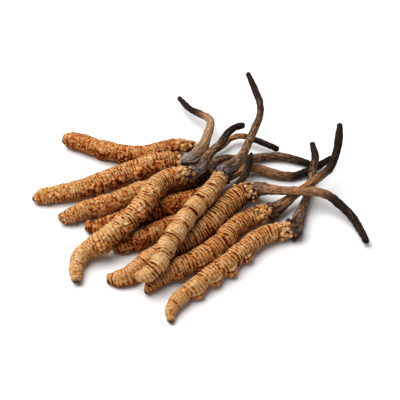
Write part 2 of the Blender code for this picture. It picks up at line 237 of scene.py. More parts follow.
SPECIMENS = {
    "01": {
        "larva": [
            (-41.2, 22.0, 1.8, 0.9), (-39.6, 22.1, 2.3, 2.2), (-37.5, 21.8, 2.6, 2.6),
            (-29.5, 18.3, 2.75, 2.8), (-21.0, 15.8, 2.75, 2.8), (-15.6, 16.1, 2.7, 2.7),
            (-8.0, 18.9, 2.7, 2.7), (-3.9, 18.8, 2.4, 2.5), (-1.1, 17.9, 2.2, 2.1),
        ],
        "stalk": [
            (-1.1, 17.9, 2.2, 1.6), (1.6, 17.3, 2.1, 1.0), (4.4, 18.1, 2.2, 0.85), (6.6, 19.7, 2.4, 0.8),
            (9.3, 22.6, 2.7, 0.85), (11.6, 23.5, 2.8, 0.9), (14.1, 22.8, 3.1, 0.9),
            (18.5, 20.7, 2.9, 0.95), (23.5, 18.5, 2.0, 0.9),
        ],
    },
    "02": {
        "larva": [
            (-48.5, -1.0, 1.2, 0.7), (-47.3, -0.7, 1.6, 1.5), (-44.5, 0.0, 2.3, 2.2),
            (-35.8, 1.8, 2.6, 2.6), (-27.5, 5.5, 2.8, 2.8), (-20.4, 8.9, 3.1, 2.9),
            (-17.1, 9.7, 3.9, 2.95), (-13.8, 10.6, 4.7, 2.95), (-9.4, 12.1, 3.8, 2.75),
            (-4.8, 13.1, 2.8, 2.3),
        ],
        "stalk": [
            (-4.8, 13.1, 2.8, 2.25), (-2.3, 12.1, 3.9, 2.7), (0.0, 14.7, 5.1, 2.1),
            (2.0, 20.0, 5.85, 1.45), (3.2, 26.4, 5.4, 1.2), (2.6, 28.9, 4.9, 1.2),
            (-0.5, 32.0, 4.2, 1.05), (-3.7, 35.1, 3.6, 0.95), (-6.6, 40.5, 2.8, 0.7),
        ],
    },
    "03": {
        "larva": [
            (-40.2, -9.1, 1.4, 1.1), (-39.3, -8.9, 1.85, 1.8), (-36.1, -8.0, 2.4, 2.4),
            (-32.1, -6.2, 2.8, 2.8), (-27.7, -5.1, 3.0, 3.05), (-21.7, -1.8, 2.9, 2.9),
            (-15.7, 1.4, 2.85, 2.85), (-9.6, 3.2, 2.8, 2.8), (-3.5, 4.9, 2.7, 2.7),
            (-0.4, 6.9, 2.5, 2.5), (1.9, 9.4, 2.3, 2.25),
        ],
        "stalk": [
            (1.9, 9.4, 2.3, 1.8), (3.3, 11.8, 1.9, 1.5), (4.8, 13.9, 1.7, 1.3),
            (7.2, 15.2, 1.7, 1.2), (11.7, 15.1, 1.6, 1.15), (17.1, 15.8, 1.5, 1.2),
            (23.4, 16.3, 1.5, 1.2), (27.8, 15.2, 1.4, 1.15), (32.8, 13.3, 1.1, 1.0),
        ],
    },
    "04": {
        "larva": [
            (-33.9, -32.6, 1.3, 1.1), (-34.0, -31.3, 1.75, 1.7), (-34.2, -27.3, 2.15, 2.1),
            (-33.2, -23.9, 2.6, 2.6), (-30.3, -21.5, 3.5, 2.9), (-27.2, -20.4, 5.4, 3.0),
            (-24.4, -19.1, 7.0, 3.0), (-19.7, -14.3, 7.7, 3.05), (-15.7, -9.6, 9.2, 3.1),
            (-14.2, -6.2, 9.4, 3.05), (-12.2, -2.6, 8.8, 3.0), (-10.4, -0.3, 8.4, 2.95),
            (-7.5, 1.5, 8.3, 2.8), (-2.6, 3.1, 7.7, 2.2),
        ],
        "stalk": [
            (-2.6, 3.1, 7.7, 2.0), (0.1, 5.0, 7.6, 1.6), (1.9, 9.3, 7.8, 1.35),
            (3.8, 11.8, 8.4, 1.3), (6.0, 14.0, 9.0, 1.25), (8.2, 17.8, 9.8, 1.1),
            (10.8, 20.2, 9.9, 1.0), (13.3, 21.1, 9.9, 0.85),
        ],
    },
    "05": {
        "larva": [
            (-32.6, -11.2, 1.5, 1.1), (-31.8, -11.5, 1.75, 1.65), (-29.8, -12.2, 2.0, 1.9),
            (-25.8, -11.6, 2.5, 2.5), (-18.5, -8.8, 2.9, 2.95), (-12.6, -6.6, 3.0, 3.05),
            (-7.6, -4.6, 3.0, 3.05), (-2.5, -2.6, 2.9, 2.9), (0.7, -0.6, 2.7, 2.65),
            (3.4, 2.6, 2.3, 2.25),
        ],
        "stalk": [
            (3.4, 2.6, 2.3, 1.8), (6.3, 5.0, 2.4, 1.3), (10.4, 8.1, 2.6, 1.3),
            (14.0, 10.8, 2.4, 1.4), (15.7, 10.9, 2.2, 1.4), (20.0, 9.6, 1.8, 1.35),
            (23.4, 8.6, 1.5, 1.25), (26.9, 8.2, 1.5, 1.2), (30.3, 9.3, 1.6, 1.2),
            (33.3, 10.8, 1.8, 1.2), (39.0, 14.7, 2.6, 1.0),
        ],
    },
    "06": {
        "larva": [
            (-25.0, -19.4, 1.2, 0.7), (-24.3, -19.4, 1.5, 1.5), (-21.9, -19.5, 2.2, 2.25),
            (-18.4, -18.3, 2.6, 2.6), (-13.9, -15.7, 2.8, 2.75), (-9.1, -12.9, 2.75, 2.75),
            (-5.2, -10.6, 2.6, 2.55), (-0.4, -7.6, 2.5, 2.1),
        ],
        "stalk": [
            (-0.4, -7.6, 2.5, 1.4), (2.8, -4.4, 1.8, 1.05), (5.7, -1.5, 1.3, 1.0),
            (9.6, 2.3, 1.8, 1.05), (13.1, 6.3, 4.3, 1.1), (14.4, 10.0, 5.5, 0.95),
            (15.2, 13.3, 6.2, 0.5),
        ],
    },
    "07": {
        "larva": [
            (-17.2, -33.9, 4.8, 0.8), (-16.6, -33.9, 5.4, 1.6), (-13.9, -33.6, 6.7, 2.25),
            (-11.8, -32.0, 7.7, 2.5), (-9.2, -25.2, 8.1, 2.7), (-6.6, -20.5, 9.0, 2.8),
            (-2.8, -13.1, 8.9, 2.8), (0.7, -8.6, 9.4, 2.75), (2.3, -6.0, 9.0, 2.65),
            (3.7, -2.7, 7.9, 2.55), (5.0, 0.5, 7.0, 2.5), (6.4, 3.5, 6.8, 2.35),
        ],
        "stalk": [
            (6.4, 3.5, 6.8, 2.3), (7.9, 4.5, 8.0, 2.45), (9.3, 4.5, 9.5, 2.0),
            (12.0, 5.9, 12.0, 1.4), (13.5, 8.3, 14.1, 1.2), (16.1, 13.4, 16.9, 1.15),
            (17.3, 16.1, 18.9, 1.05),
            (17.3, 19.2, 20.6, 1.05), (15.6, 24.0, 22.2, 0.95), (13.8, 28.9, 23.6, 0.7),
        ],
    },
    "08": {
        "larva": [
            (-25.7, -30.4, 1.2, 0.7), (-24.9, -30.8, 1.6, 1.4), (-22.5, -31.2, 2.1, 2.1),
            (-19.6, -30.4, 2.5, 2.5), (-13.7, -24.5, 2.7, 2.75), (-7.5, -20.6, 2.9, 2.95),
            (-1.8, -16.2, 3.05, 3.1), (3.5, -11.2, 4.1, 3.2), (7.5, -5.3, 3.6, 3.15),
            (11.6, -1.3, 3.8, 2.95), (15.9, 0.3, 4.0, 2.55),
        ],
        "stalk": [
            (15.9, 0.3, 4.0, 2.45), (17.9, -0.2, 4.9, 2.0), (20.1, -1.4, 5.9, 1.6), (23.6, -2.4, 6.5, 1.3),
            (29.1, -2.6, 6.5, 1.3), (33.5, -2.1, 5.7, 1.3), (36.9, -3.0, 4.9, 1.3),
            (40.3, -5.8, 3.8, 1.3), (42.9, -8.7, 3.0, 1.25), (45.3, -13.2, 2.0, 1.15),
            (47.0, -18.2, 1.8, 0.9),
        ],
    },
    "09": {
        "larva": [
            (-14.9, -36.2, 1.0, 0.6), (-14.5, -35.4, 1.4, 1.2), (-13.3, -33.7, 1.9, 1.9),
            (-10.4, -30.9, 2.5, 2.55), (-5.2, -27.9, 2.9, 2.9), (-0.2, -25.0, 3.0, 3.0),
            (5.5, -19.5, 3.0, 3.05), (10.0, -13.4, 3.0, 3.0), (14.3, -9.5, 2.8, 2.75),
            (20.4, -6.8, 2.6, 2.3),
        ],
        "stalk": [
            (20.4, -6.8, 2.6, 2.25), (22.2, -5.8, 2.9, 2.1), (24.9, -3.7, 3.4, 1.55),
            (28.0, -0.9, 4.0, 1.25), (31.3, 1.3, 5.0, 1.25), (34.6, 2.8, 7.0, 1.2),
            (37.2, 3.9, 9.1, 1.2), (38.5, 5.7, 11.0, 1.2), (39.4, 8.0, 12.9, 1.2),
            (39.9, 10.3, 14.5, 1.2), (40.4, 15.3, 16.2, 0.85),
        ],
    },
    "10": {
        "larva": [
            (-7.9, -46.2, 0.9, 0.6), (-7.9, -45.2, 1.2, 1.15), (-7.8, -42.7, 1.8, 1.8),
            (-6.3, -39.6, 2.2, 2.2), (0.0, -33.6, 2.65, 2.6), (6.7, -27.3, 2.9, 2.75),
            (11.6, -22.2, 2.85, 2.75), (16.6, -17.1, 2.75, 2.7), (20.6, -15.1, 2.65, 2.65),
            (23.9, -14.2, 2.5, 2.5), (26.5, -13.1, 2.5, 2.3),
        ],
        "stalk": [
            (26.5, -13.1, 2.5, 2.25), (28.0, -9.8, 2.6, 1.85), (29.3, -5.6, 2.5, 1.35),
            (30.8, -0.3, 1.9, 1.2),
            (32.0, 4.6, 2.0, 1.15), (33.1, 8.7, 3.7, 1.15), (33.7, 12.0, 5.4, 1.15),
            (33.0, 17.2, 6.6, 0.8),
        ],
    },
}
print("specimens:", len(SPECIMENS))

# %% [markdown]
# A few points can't be joined by straight lines, because a dried stalk bends smoothly. A centripetal
# Catmull-Rom curve goes through every point and doesn't overshoot where points are close together.

# %% Smooth curve through a route
def smooth_curve(route):
    """Many (point, radius) pairs on a smooth curve through the route points."""
    centres = [Vector(point[:3]) for point in route]
    radii = [point[3] for point in route]
    centres = [2 * centres[0] - centres[1]] + centres + [2 * centres[-1] - centres[-2]]
    radii = [radii[0]] + radii + [radii[-1]]
    dense = []
    for i in range(1, len(centres) - 2):
        before, start, end, after = centres[i - 1:i + 3]
        knot_a = math.sqrt((start - before).length)
        knot_b = math.sqrt((end - start).length)
        knot_c = math.sqrt((after - end).length)
        leave = (end - start) + knot_b * ((start - before) / knot_a - (end - before) / (knot_a + knot_b))
        arrive = (end - start) + knot_b * ((after - end) / knot_c - (after - start) / (knot_b + knot_c))
        for step in range(CURVE_STEPS):
            t = step / CURVE_STEPS
            point = ((2 * t**3 - 3 * t**2 + 1) * start + (t**3 - 2 * t**2 + t) * leave
                     + (3 * t**2 - 2 * t**3) * end + (t**3 - t**2) * arrive)
            ease = 3 * t**2 - 2 * t**3
            dense.append((point, radii[i] * (1 - ease) + radii[i + 1] * ease))
    dense.append((centres[-2], radii[-2]))
    return dense


def route_mesh(name, dense):
    """A chain of edges in metres, with the radius of the piece kept on each of its points."""
    mesh = bpy.data.meshes.new(name + "_route")
    places = [(point - PILE_CENTRE) * MM for point, radius in dense]
    mesh.from_pydata(places, [(i, i + 1) for i in range(len(places) - 1)], [])
    width = mesh.attributes.new("girth", "FLOAT", "POINT")
    for i, (point, radius) in enumerate(dense):
        width.data[i].value = radius * MM
    return mesh


def length_of(dense):
    """The length of a curve in millimetres."""
    return sum((b[0] - a[0]).length for a, b in zip(dense, dense[1:]))


FOOT_DEPTH = 1.6


def specimen_curves(specimen):
    """The curve of the larva and the curve of the stalk, cut from one smooth curve through both."""
    larva, stalk = specimen["larva"], specimen["stalk"]
    whole = smooth_curve(larva + stalk[1:])
    cut = (len(larva) - 1) * CURVE_STEPS
    larva_radii = [radius for point, radius in smooth_curve(larva)]
    stalk_radii = [radius for point, radius in smooth_curve(stalk)]
    body = [(point, radius) for (point, old), radius in zip(whole[:cut + 1], larva_radii)]
    twig = [(point, radius) for (point, old), radius in zip(whole[cut:], stalk_radii)]
    # The foot of the stalk starts inside the head, so that its fibres grow out of it.
    inside = max(i for i in range(cut) if length_of(whole[i:cut + 1]) > FOOT_DEPTH)
    lead = [(point, stalk_radii[0]) for point, old in whole[inside:cut]]
    return body, lead + twig


curves = {number: specimen_curves(specimen) for number, specimen in SPECIMENS.items()}
for number, specimen in curves.items():
    print("specimen", number, "larva and stalk in mm:", [round(length_of(dense), 1) for dense in specimen])

# %% [markdown]
# ## A tube swept along a route
#
# Larva and stalk start the same way: a circle swept along the route. Every point of the skin keeps how
# far along it lies, its angle round the body, and the centre line it belongs to. With those, any relief
# is one number: how far the point stands out from the centre line. The angle is 0 under the belly,
# 90 degrees on the right-hand side and 180 on the back, so legs and folds can be placed by it.

# %% Sweep: the start of both trees
def stored(tree, name):
    """A value that was stored on the points under this name."""
    return out(tree, "GeometryNodeInputNamedAttribute", {"Name": name})


def sweep(tree, given):
    """The bare tube, with its coordinates as fields: along and radius in mm, angle in radians."""
    curve = out(tree, "GeometryNodeMeshToCurve", {"Mesh": given["Geometry"]})
    fat = out(tree, "GeometryNodeSetCurveRadius", {"Curve": curve, "Radius": stored(tree, "girth")})
    even = out(tree, "GeometryNodeResampleCurve", {"Curve": fat, "Count": given["Rows"]}, mode="COUNT")
    upright = out(tree, "GeometryNodeSetCurveNormal", {"Curve": even}, mode="Z_UP")
    kept = add(tree, "GeometryNodeCaptureAttribute", {"Geometry": upright})
    sources = [
        ("Along", "FLOAT", "GeometryNodeSplineParameter", "Length"),
        ("Radius", "FLOAT", "GeometryNodeInputRadius", 0),
        ("Centre", "VECTOR", "GeometryNodeInputPosition", 0),
        ("Heading", "VECTOR", "GeometryNodeInputTangent", 0),
    ]
    for label, kind, source, which in sources:
        kept.capture_items.new(kind, label)
    for place, (label, kind, source, which) in enumerate(sources):
        plug(tree, kept.inputs[place + 1], out(tree, source, which=which))
    line, along, radius, centre, heading = [Field(tree, kept.outputs[place]) for place in range(5)]

    ring = out(tree, "GeometryNodeCurvePrimitiveCircle", {"Resolution": given["Columns"], "Radius": MM})
    ends = {"Scale": 1.0, "Fill Caps": True}
    tube = out(tree, "GeometryNodeCurveToMesh", {"Curve": line, "Profile Curve": ring, **ends})
    here = out(tree, "GeometryNodeInputPosition")
    outward = here.vector("SUBTRACT", centre).vector("NORMALIZE")
    right = heading.vector("CROSS_PRODUCT", (0, 0, 1)).vector("NORMALIZE")
    up = right.vector("CROSS_PRODUCT", heading)
    sideways = outward.vector("DOT_PRODUCT", right)
    downward = outward.vector("DOT_PRODUCT", up) * -1.0
    return {
        "mesh": tube,
        "along": along / MM,
        "radius": radius / MM,
        "angle": sideways.math("ARCTAN2", downward),
        "centre": centre,
        "outward": outward,
        "skin": centre.vector("ADD", outward.vector("SCALE", scale=radius)).over(MM),
    }


# %% [markdown]
# A tube is shaped by moving its points in or out. Two limits hold everywhere: a point never reaches the
# centre line, where the tube would turn inside out, and it never goes below the surface that the heap
# lies on. Both ends of a tube are rounded in the same way, by a quarter of a circle.

# %% Shape a tube and keep values on it
LEAST_REACH = 0.01
LOWEST_PLACE = (-10.0, -10.0, 0.00002)


def stand_out(tree, tube, distance):
    """Move every point of the tube to a distance in mm from its centre line."""
    reach = distance.math("MAXIMUM", LEAST_REACH)
    place = tube["centre"].vector("ADD", tube["outward"].vector("SCALE", scale=reach * MM))
    above = place.vector("MAXIMUM", LOWEST_PLACE)
    return out(tree, "GeometryNodeSetPosition", {"Geometry": tube["mesh"], "Position": above})


def round_end(way, length):
    """The outline of a rounded end: 0 where the way from the end is 0, and 1 from a length in mm on."""
    left = (1.0 - way / length).math("MAXIMUM", 0.0).math("MINIMUM", 1.0)
    return (1.0 - left.power(2.0)).math("SQRT")


def keep(tree, geometry, **values):
    """Store named values on the points, for the materials to read."""
    for name, value in values.items():
        inputs = {"Geometry": geometry, "Name": name, "Value": value}
        geometry = out(tree, "GeometryNodeStoreNamedAttribute", inputs)
    return geometry


# %% [markdown]
# ## The larva's skin
#
# The skin is a row of fine rings about a millimetre apart, like a thin rope wound round the body. Up
# close each ring is a string of grains. On some specimens the rings are crisp, on others the grains
# have all but swallowed them. Bump shading alone would leave the outline smooth, and the outline is
# what shows the rings first, so all of this is real relief, one formula of the distance along and the
# angle round the body.
#
# The sizes that differ from one specimen to the next are named inputs, lengths in millimetres and
# angles in degrees. Ring Fade closes the creases between two folds, less so near the head, and Ring
# Rise closes all of them towards the tail. Looseness is how far the grains leave their rows. Dark Head
# is how far the dark patch at the head reaches down the body: partly a stain round the head, partly
# painted shade where the head lies under other specimens. Dark Side and Dark Bias draw it out along
# one side, as painted shade cast by a neighbour.

# %% Larva tree: its named inputs
LARVA_NUMBERS = {
    # The mesh: its rows, its columns, the length it covers and the seed of its noise
    "Rows": 300,
    "Columns": 96,
    "Length": 50.0,
    "Seed": 0,
    # Rings and grains
    "Ring Step": 0.95,
    "Ring Depth": 0.22,
    "Ring Fade": 0.0,
    "Ring Rise": 0.0,
    "Wander": 0.6,
    "Grain": 0.14,
    "Looseness": 0.7,
    # Folds between the segments, and the swelling of each segment
    "Fold Step": 5.6,
    "Fold Depth": 0.2,
    "Swell": 0.16,
    "Lumps": 0.3,
    # The belly's angle, the legs, the flank that they stand on, and the painted shade on that flank
    "Belly": 20.0,
    "Leg Start": 14.0,
    "Leg Step": 6.4,
    "Leg Height": 0.5,
    "Lip": 0.35,
    "Lip Turn": 0.0,
    "Flank": 0.0,
    "Flank Shade": 0.12,
    # Head, tail and how light the whole skin is, in its own tone and in painted shade
    "Head Length": 4.0,
    "Bead Reach": 3.0,
    "Dark Head": 3.2,
    "Dark Side": 0.0,
    "Dark Bias": 0.0,
    "Tail Pinch": 0.14,
    "Tone and Shade": 0.5,
}
DEGREES = math.pi / 180

larva_tree, larva_in = new_tree("larva skin", LARVA_NUMBERS)
larva = sweep(larva_tree, larva_in)
print("larva inputs:", len(LARVA_NUMBERS))

# %% [markdown]
# Wandering noise is added to the distance before it is cut into rings. It bends the rings and varies
# their width. The grains are cells of a Voronoi pattern, which is laid out on the same bent distance,
# so a row of cells falls on each ring. It is read in space, not unrolled, so it has no seam. Smaller
# cells, laid over everything, give the specks.
#
# Each formula has two results: the relief in millimetres, and how light the skin is there. The material
# turns the second one into a colour. The lightness is partly the skin's own tone and partly painted light
# and shade: crests and the tops of grains lighter, creases and gaps darker.

# %% Larva tree: rings, creases and grains
SPECK_WIDTH = 0.58


def domes(tree, place, looseness, width=0.72):
    """Cells about one unit wide: the height of each as a low dome, and a random number for each."""
    inputs = {"Vector": place, "Scale": 1.0, "Randomness": looseness}
    cells = add(tree, "ShaderNodeTexVoronoi", inputs, feature="F1")
    far = Field(tree, cells.outputs["Distance"]) / width
    height = (1.0 - far * far).math("MAXIMUM", 0.0)
    return height, out(tree, "ShaderNodeSeparateXYZ", {0: Field(tree, cells.outputs["Color"])})


def ring_skin(tree, given, tube, place):
    """Rings and grains: their relief in mm, and how light they are, with painted light and shade."""
    along, radius, seed = tube["along"], tube["radius"], given["Seed"]
    cosine, sine = tube["angle"].math("COSINE"), tube["angle"].math("SINE")
    stretch = noise(tree, combine(tree, along * 0.16, seed * 9.1, 0.0), 1.0) * 1.3
    stretch = stretch + noise(tree, combine(tree, along * 0.55, seed * 3.7, 4.0), 1.0) * 0.35
    wander = noise(tree, place, 0.22) * given["Wander"] + noise(tree, place, 0.75) * 0.2
    wander = wander + noise(tree, place, 1.9) * 0.07
    rings = (along + stretch + wander) / given["Ring Step"]
    arch = rings.wave()

    # Each crease is deep in some places and closed in others.
    arc = combine(tree, rings.math("ROUND") * 5.3, cosine * 1.3, sine * 1.3 + seed * 3.0)
    open_crease = noise(tree, arc, 0.9).ramp(-0.35, 0.4, 0.1, 1.15)

    # A deeper fold runs part of the way round wherever a segment ends.
    folds = rings * given["Ring Step"] / given["Fold Step"]
    nearest = folds.math("ROUND")
    to_fold = (folds - nearest).size() * given["Fold Step"]
    fold_arc = combine(tree, nearest * 7.7, cosine, sine + seed * 2.0)
    fold = to_fold.ramp(0.0, 0.55, 1.0, 0.0) * noise(tree, fold_arc, 0.9).ramp(-0.4, 0.25, 0.2, 1.0)
    swell = folds.wave().power(0.5)

    # Some skins lose the creases between two folds, and some lose them towards the tail.
    part_way = along / given["Length"]
    fade = given["Ring Fade"] * part_way.ramp(0.65, 0.85, 1.0, 0.2)
    open_crease = open_crease * (1.0 - to_fold.ramp(0.8, 1.8) * fade)
    open_crease = open_crease * (1.0 - part_way.ramp(0.1, 0.6, 1.0, 0.0) * given["Ring Rise"])

    # One row of grains lies on each ring, and smaller specks lie anywhere.
    looseness = given["Looseness"]
    row = rings - 0.5 + looseness * 0.5
    round_x = cosine * radius / given["Ring Step"] + seed * 11.0
    round_y = sine * radius / given["Ring Step"]
    grain, grain_shade = domes(tree, combine(tree, row, round_x, round_y), looseness)
    patchy = noise(tree, place, 0.45).ramp(-0.4, 0.4, 0.55, 1.0)
    speck, speck_shade = domes(tree, place.over(SPECK_WIDTH), 1.0, 0.6)

    relief = given["Ring Depth"] * open_crease * (arch.power(0.6) - 1.0)
    relief = relief + given["Grain"] * patchy * (grain - 0.8) + (speck - 0.5) * 0.05
    relief = relief - fold * given["Fold Depth"] + (swell - 0.75) * given["Swell"]

    # Creases are darker: partly painted shade, and partly a stain that stays even where a crease has
    # closed.
    crease_stain_and_shade = open_crease * 0.8 + 0.16
    # Painted light and shade: crests, grain tops and speck tops lighter, creases and folds darker.
    light = (crease_stain_and_shade * (arch.power(0.7) - 1.0) + 0.18) * (given["Ring Depth"] * 4.8)
    light = light + (grain - 0.5) * (given["Grain"] * 1.6)
    light = light + (grain_shade - 0.5) * grain * given["Grain"] * 1.3
    light = light - fold * given["Fold Depth"].ramp(0.0, 0.4, 0.0, 0.5)
    specks = (speck - 0.5) * 0.34 + (speck_shade - 0.5) * speck * 0.6
    return relief, light + specks * (1.1 - given["Ring Depth"] * 1.5)


# %% [markdown]
# ## Legs
#
# A larva has four pairs of short legs on its belly side. Dried, each is a lumpy mound in a shallow moat,
# and on some specimens a long pale lip stands over it, with a dark cleft and a fainter second lip below.
# The lips and the tops of the lumps are painted lighter as highlights, and the cleft and the moat are
# painted darker as shadow.
# They are made in the same formula: the nearest leg's own coordinates are two distances in mm, forward
# along the body and aside from the leg's row, and mound, lips and cleft are simple shapes in those.
# Counting from the belly's own angle makes both rows at once, because only the size of that angle is
# used. The input Lip says how strong lips and cleft are, and how far they replace the lumps.

# %% Larva tree: legs
LEG_PAIRS = 4
LEG_SPREAD = 38.0
LEG_HALF_LENGTH = 2.1
LEG_HALF_WIDTH = 1.75
LEG_LUMP_WIDTH = 1.1
LIP_ASIDE = 1.6
SECOND_LIP_ASIDE = 0.72
CLEFT_ASIDE = 1.14


def stripe(aside, forward, middle, edge, end):
    """A band along a leg: 1 inside, and 0 past its edges and ends, each a near and a far mm."""
    return (aside - middle).size().ramp(*edge, 1.0, 0.0) * forward.size().ramp(*end, 1.0, 0.0)


def legs(tree, given, tube, place):
    """Relief of the legs in mm, how light they are with painted light and shade, and the mask of their
    mounds.
    """
    steps = (tube["along"] - given["Leg Start"]) / given["Leg Step"]
    index = steps.math("ROUND").math("MAXIMUM", 0.0).math("MINIMUM", LEG_PAIRS - 1.0)
    turned = (tube["angle"] - given["Belly"] * DEGREES).math("WRAP", math.pi, -math.pi)
    side = turned.math("SIGN")
    luck = dice(tree, index + side * 0.31, given["Seed"] + 3.3)
    more_luck = dice(tree, index + side * 0.57, given["Seed"] + 8.1)
    ragged = noise(tree, place, 0.9) * 0.55
    forward = (steps - index) * given["Leg Step"] + (luck - 0.5) + ragged
    aside = (turned.size() - LEG_SPREAD * DEGREES) * tube["radius"] + (more_luck - 0.5) * 0.6 + ragged * 0.6

    reach = (forward / LEG_HALF_LENGTH).power(2.0) + (aside / LEG_HALF_WIDTH).power(2.0)
    reach = reach.math("SQRT")
    mound = reach.ramp(0.35, 1.1, 1.0, 0.0)
    lumps, lump_shade = domes(tree, place.over(LEG_LUMP_WIDTH), 1.0, 0.7)
    moat = (reach - 1.05 + ragged * 0.5).size().ramp(0.04, 0.25, 1.0, 0.0)
    slant = aside + forward * given["Lip Turn"]
    lip = stripe(slant, forward, LIP_ASIDE, (0.06, 0.36), (1.3, 2.0))
    second = stripe(slant, forward, SECOND_LIP_ASIDE, (0.06, 0.36), (0.9, 1.7))
    cleft = stripe(slant, forward, CLEFT_ASIDE, (0.05, 0.34), (1.2, 1.9))

    size = luck * 0.4 + 0.8
    relief = mound * size + (lumps - 0.6) * mound * (0.55 - given["Lip"] * 0.4) - moat * 0.1
    relief = relief + (lip * 0.45 + second * 0.1 - cleft * 0.2) * given["Lip"]
    # Painted highlight on the lips and the tops of the lumps, painted shadow in the cleft and the moat.
    light = (lip * 0.5 + second * 0.12 - cleft * 0.35) * given["Lip"] * (index * 0.2 + 0.4)
    lump_light = lumps - 0.55 + (lump_shade - 0.5) * 0.3
    light = light + lump_light * mound * (1.1 - given["Lip"] * 0.8) - moat * 0.15
    return relief * given["Leg Height"], light * given["Leg Height"].ramp(0.1, 0.5), mound


# %% [markdown]
# ## Head and tail
#
# Towards the head the rings break up into large knuckles with dark gaps, their tops painted lighter and
# the gaps painted darker as shade. The tail narrows behind a last pinched ring, painted darker as shade,
# and ends in a small dark button.

# %% Larva tree: the whole relief
TAIL_PINCH_AT = 2.3
TAIL_ROUNDING = 0.8
KNUCKLE_WIDTH = 1.45


def larva_relief(tree, given, tube):
    """How far the skin stands out from the centre line, and the masks that colour it."""
    seed_shift = combine(tree, given["Seed"] * 31.7, given["Seed"] * 17.3, 0.0)
    place = tube["skin"].vector("ADD", seed_shift)
    along = tube["along"]
    to_head = given["Length"] - along + noise(tree, place, 0.6) * 0.8
    headward = (to_head / given["Head Length"]).ramp(0.35, 1.25, 1.0, 0.0)
    plain = 1.0 - headward

    ring_relief, ring_light = ring_skin(tree, given, tube, place)
    leg_relief, leg_light, mound = legs(tree, given, tube, place)
    knuckle, knuckle_shade = domes(tree, place.over(KNUCKLE_WIDTH), 0.85, 0.7)
    knuckle_relief = (knuckle - 0.75) * 0.62
    # Painted light and shade: knuckle tops lighter, the gaps between them darker.
    knuckle_light = (knuckle - 0.66) * 0.75 + (knuckle_shade - 0.5) * 0.3
    rough = noise(tree, place, 2.0, 3.0)
    lumps = noise(tree, place, 0.24)
    flank = (tube["angle"] - given["Belly"] * DEGREES).math("COSINE").ramp(0.25, 0.95)

    relief = ring_relief * (1.0 - mound * 0.6) * plain + knuckle_relief * headward
    relief = relief + leg_relief * plain + rough * 0.08 + lumps * given["Lumps"]
    relief = relief + flank * (noise(tree, place, 0.6, 2.0) * 0.3 + given["Flank"])
    relief = relief - (to_head / given["Bead Reach"].math("MAXIMUM", 0.1)).ramp(0.3, 1.1, 0.3, 0.0)
    light = ring_light * (1.0 - mound * 0.7) * plain + knuckle_light * headward + leg_light * plain
    # Painted light and shade: bulging lumps lighter, and the flank on the belly side darker by Flank Shade.
    light = light + rough * 0.4 - flank * given["Flank Shade"] + lumps * 0.15

    pinch = (along - TAIL_PINCH_AT + noise(tree, place, 0.5) * 0.5).size().ramp(0.0, 0.55, 1.0, 0.0)
    tail = round_end(along, TAIL_ROUNDING)
    distance = (tube["radius"] + relief * tail - pinch * given["Tail Pinch"]) * tail
    # Painted shade: Dark Side and Dark Bias draw the dark patch out along one side.
    towards_side = (tube["angle"] - given["Dark Side"] * DEGREES).math("COSINE")
    from_dark_patch = to_head / (towards_side * given["Dark Bias"] + 1.0).math("MAXIMUM", 0.05)
    # The pinched ring is painted darker, as shade in its crease.
    return distance, light - pinch * 0.2, to_head, from_dark_patch, mound * plain


larva_distance, larva_light, larva_to_head, from_dark_patch, larva_mound = larva_relief(
    larva_tree, larva_in, larva
)
larva_skin = keep(
    larva_tree, stand_out(larva_tree, larva, larva_distance),
    light=larva_light, from_tail=larva["along"], to_head=from_dark_patch, tone=larva_in["Tone and Shade"],
    dark_head=larva_in["Dark Head"], leg=larva_mound, bead=0.0, pit=0.0,
)
print("larva skin nodes:", len(larva_tree.nodes))

# %% [markdown]
# ## Beads round the head
#
# Where the stalk breaks out, the head end is crowded with bright beads, some with a dark pit in the
# middle. Placing each by hand would be tedious and look even, so points are scattered on the last few
# millimetres of the skin, never closer than a bead's width, and a squat ball goes on each. After the
# balls are made real, noise dents each one in its own way.

# %% Larva tree: beads
BEAD_GAP = 1.1
BEADS_PER_SQUARE_METRE = 3.0e6
BEAD_SQUASH = (1.0, 1.0, 0.8)
BEAD_GIRTH = (0.5, 0.9)
SHARE_WITHOUT_PIT = 0.6


def chance(tree, seed, low=0.0, high=1.0):
    """A random number for each point."""
    inputs = {"Min": low, "Max": high, "Seed": seed}
    return out(tree, "FunctionNodeRandomValue", inputs, 1, data_type="FLOAT")


def scattered_balls(tree, skin, to_head, reach, seed):
    """Squat balls scattered over the head end, with a top, a lightness and perhaps a pit."""
    crowd = (to_head / reach.math("MAXIMUM", 0.1)).ramp(0.4, 1.0, 1.0, 0.1)
    inputs = {
        "Mesh": skin,
        "Selection": to_head.math("LESS_THAN", reach),
        "Distance Min": BEAD_GAP * MM,
        "Density Max": BEADS_PER_SQUARE_METRE,
        "Density Factor": crowd,
        "Seed": seed,
    }
    spots = add(tree, "GeometryNodeDistributePointsOnFaces", inputs, distribute_method="POISSON")
    has_pit = chance(tree, 7).math("GREATER_THAN", SHARE_WITHOUT_PIT)
    points = keep(
        tree, Field(tree, spots.outputs["Points"]),
        light=(chance(tree, 5) - 0.2) * 0.5, pit=has_pit, bead=1.0,
    )
    here = out(tree, "GeometryNodeInputPosition")
    top = here.vector("NORMALIZE").vector("DOT_PRODUCT", (0, 0, 1))
    ball = out(tree, "GeometryNodeMeshIcoSphere", {"Radius": MM, "Subdivisions": 3})
    squashed = {"Geometry": keep(tree, ball, top=top), "Position": here.vector("MULTIPLY", BEAD_SQUASH)}
    placed = out(tree, "GeometryNodeInstanceOnPoints", {
        "Points": points,
        "Instance": out(tree, "GeometryNodeSetPosition", squashed),
        "Rotation": Field(tree, spots.outputs["Rotation"]),
        "Scale": chance(tree, 9, *BEAD_GIRTH),
    })
    return out(tree, "GeometryNodeRealizeInstances", {"Geometry": placed})


